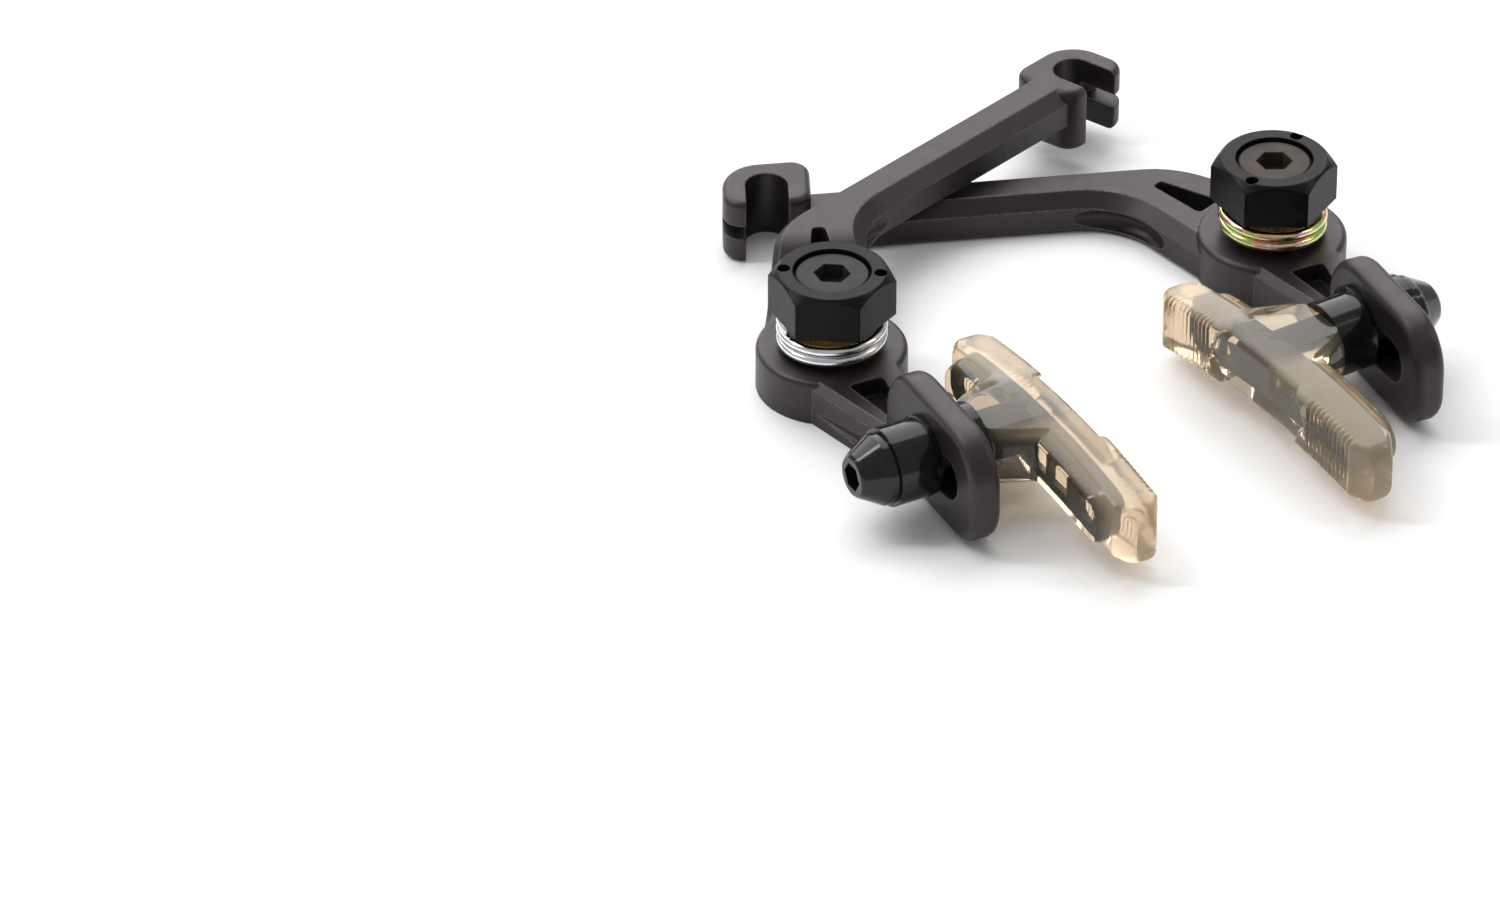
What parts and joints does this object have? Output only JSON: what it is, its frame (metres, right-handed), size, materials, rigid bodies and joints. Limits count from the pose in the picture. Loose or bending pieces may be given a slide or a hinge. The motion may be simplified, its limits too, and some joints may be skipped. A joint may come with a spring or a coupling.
{
  "type": "bicycle u-brake",
  "caption": "Rim brake calliper with crossing forged arms on frame pivots, return springs, tension nuts and clear rubber pads on slotted plates.",
  "frame": {"origin": "midway between the two pivot axes, in the plane of the bushings' feet", "axes": "+X from the left pivot to the right one, +Y towards the cable hooks, +Z along the pivots away from the bicycle frame"},
  "size_m": [0.1033, 0.1224, 0.0208],
  "materials": {
    "arm_black": "satin anodised",
    "bushing_brass": "turned",
    "bolt_black": "black oxide",
    "nut_black": "black anodised",
    "spring_left": "zinc plated",
    "spring_right": "yellow zinc plated",
    "pad_clear_rubber": "translucent",
    "insert_steel": "dull",
    "clamp_black": "glossy black"
  },
  "bodies": {
    "frame_pivots": {"left_pivot_bushing": "bushing_brass", "left_pivot_bolt": "bolt_black", "right_pivot_bushing": "bushing_brass", "right_pivot_bolt": "bolt_black"},
    "left_arm": {"left_arm": "arm_black"},
    "left_tension_nut": {"left_tension_nut": "nut_black", "left_return_spring": "spring_left"},
    "left_pad_washers": {"left_outer_domed_washer": "clamp_black", "left_outer_dished_washer": "clamp_black", "left_inner_domed_washer": "clamp_black", "left_inner_dished_washer": "clamp_black"},
    "left_pad": {"left_pad_shoe": "pad_clear_rubber", "left_pad_insert": "insert_steel", "left_pad_nut": "clamp_black"},
    "right_arm": {"right_arm": "arm_black"},
    "right_tension_nut": {"right_tension_nut": "nut_black", "right_return_spring": "spring_right"},
    "right_pad_washers": {"right_outer_domed_washer": "clamp_black", "right_outer_dished_washer": "clamp_black", "right_inner_domed_washer": "clamp_black", "right_inner_dished_washer": "clamp_black"},
    "right_pad": {"right_pad_shoe": "pad_clear_rubber", "right_pad_insert": "insert_steel", "right_pad_nut": "clamp_black"}
  },
  "joints": [
    {"name": "left_arm_pivot", "type": "hinge", "parent": "frame_pivots", "child": "left_arm", "pos_m": [-0.0383, 0, 0], "axis": [0, 0, 1], "range_deg": [-2, 7], "stiffness_Nm_per_rad": 0.6},
    {"name": "left_tension_nut_turn", "type": "hinge", "parent": "frame_pivots", "child": "left_tension_nut", "pos_m": [-0.0383, 0, 0], "axis": [0, 0, 1], "range_deg": [-60, 60]},
    {"name": "left_pad_slide", "type": "slide", "parent": "left_arm", "child": "left_pad_washers", "axis": [0.0175, -0.9998, 0], "range_m": [-0.0035, 0.007]},
    {"name": "left_pad_turn", "type": "hinge", "parent": "left_pad_washers", "child": "left_pad", "pos_m": [-0.03765, -0.03699, 0.0099], "axis": [0.9981, 0.061, 0], "range_deg": [-90, 90]},
    {"name": "right_arm_pivot", "type": "hinge", "parent": "frame_pivots", "child": "right_arm", "pos_m": [0.0383, 0, 0], "axis": [0, 0, -1], "range_deg": [-2, 7], "stiffness_Nm_per_rad": 0.6},
    {"name": "right_tension_nut_turn", "type": "hinge", "parent": "frame_pivots", "child": "right_tension_nut", "pos_m": [0.0383, 0, 0], "axis": [0, 0, 1], "range_deg": [-60, 60]},
    {"name": "right_pad_slide", "type": "slide", "parent": "right_arm", "child": "right_pad_washers", "axis": [0, -1, 0], "range_m": [0, 0.0105]},
    {"name": "right_pad_turn", "type": "hinge", "parent": "right_pad_washers", "child": "right_pad", "pos_m": [0.0383, -0.0335, 0.0099], "axis": [-0.9903, -0.1392, 0], "range_deg": [-90, 90]}
  ]
}
